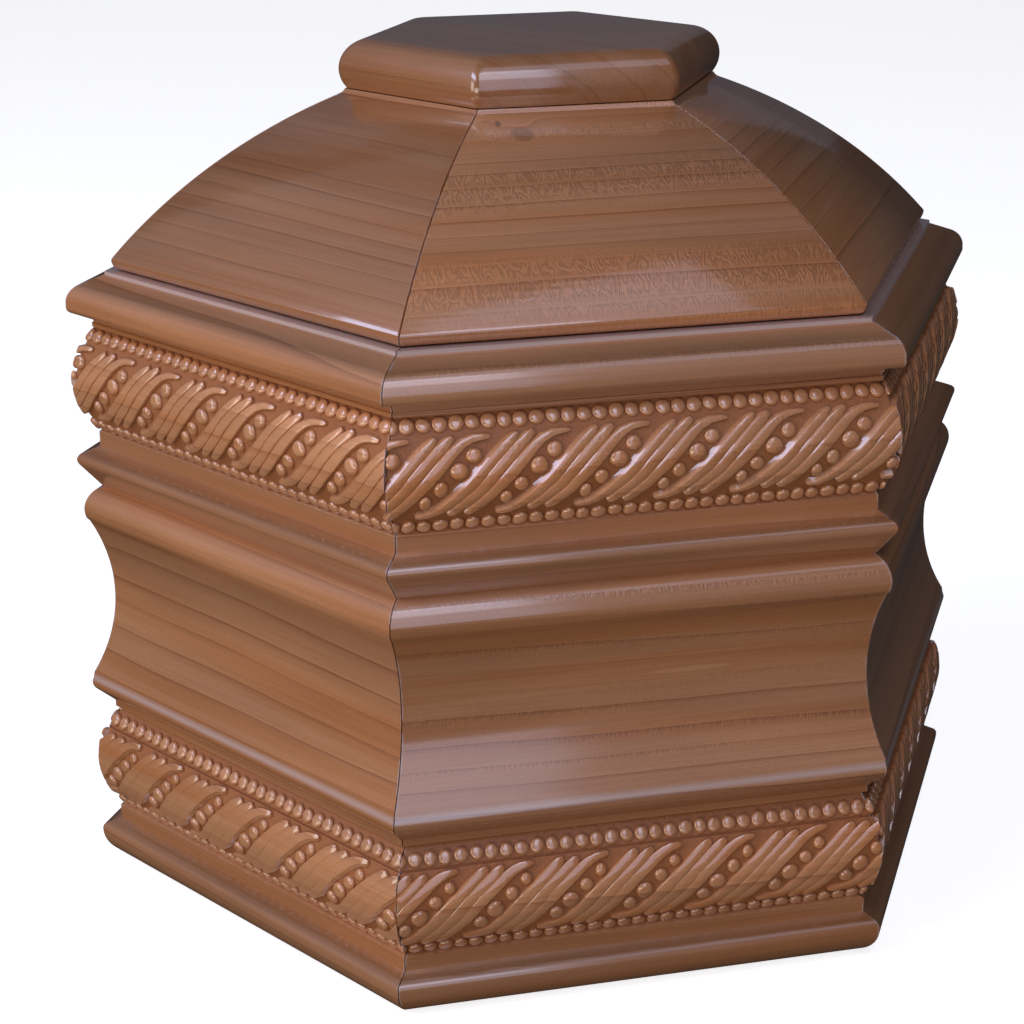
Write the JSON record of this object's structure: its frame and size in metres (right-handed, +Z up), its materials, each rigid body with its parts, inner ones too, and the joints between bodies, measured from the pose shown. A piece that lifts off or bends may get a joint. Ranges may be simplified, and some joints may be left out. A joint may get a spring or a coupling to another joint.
{
  "type": "cremation urn",
  "caption": "Hexagonal varnished wooden cremation urn with moulded mitred sides, carved rope-and-bead bands and a lift-off domed lid under a hexagonal cap.",
  "frame": {"origin": "centre of the underside, on the surface the urn stands on", "axes": "+Z up along the urn's axis, front side facing -Y, two of the six corners on the X axis"},
  "size_m": [0.27, 0.234, 0.2418],
  "materials": {
    "wood_sides": "gloss varnish over stained softwood, darker stain in the carving",
    "wood_dome": "gloss varnish over stained softwood",
    "wood_cap": "gloss varnish over stained softwood",
    "wood_bottom": "plain sanded wood"
  },
  "bodies": {
    "root": {"side_front": "wood_sides", "side_front_right": "wood_sides", "side_back_right": "wood_sides", "side_back": "wood_sides", "side_back_left": "wood_sides", "side_front_left": "wood_sides", "dome_front": "wood_dome", "dome_front_right": "wood_dome", "dome_back_right": "wood_dome", "dome_back": "wood_dome", "dome_back_left": "wood_dome", "dome_front_left": "wood_dome", "cap": "wood_cap", "bottom_board": "wood_bottom"}
  },
  "joints": []
}
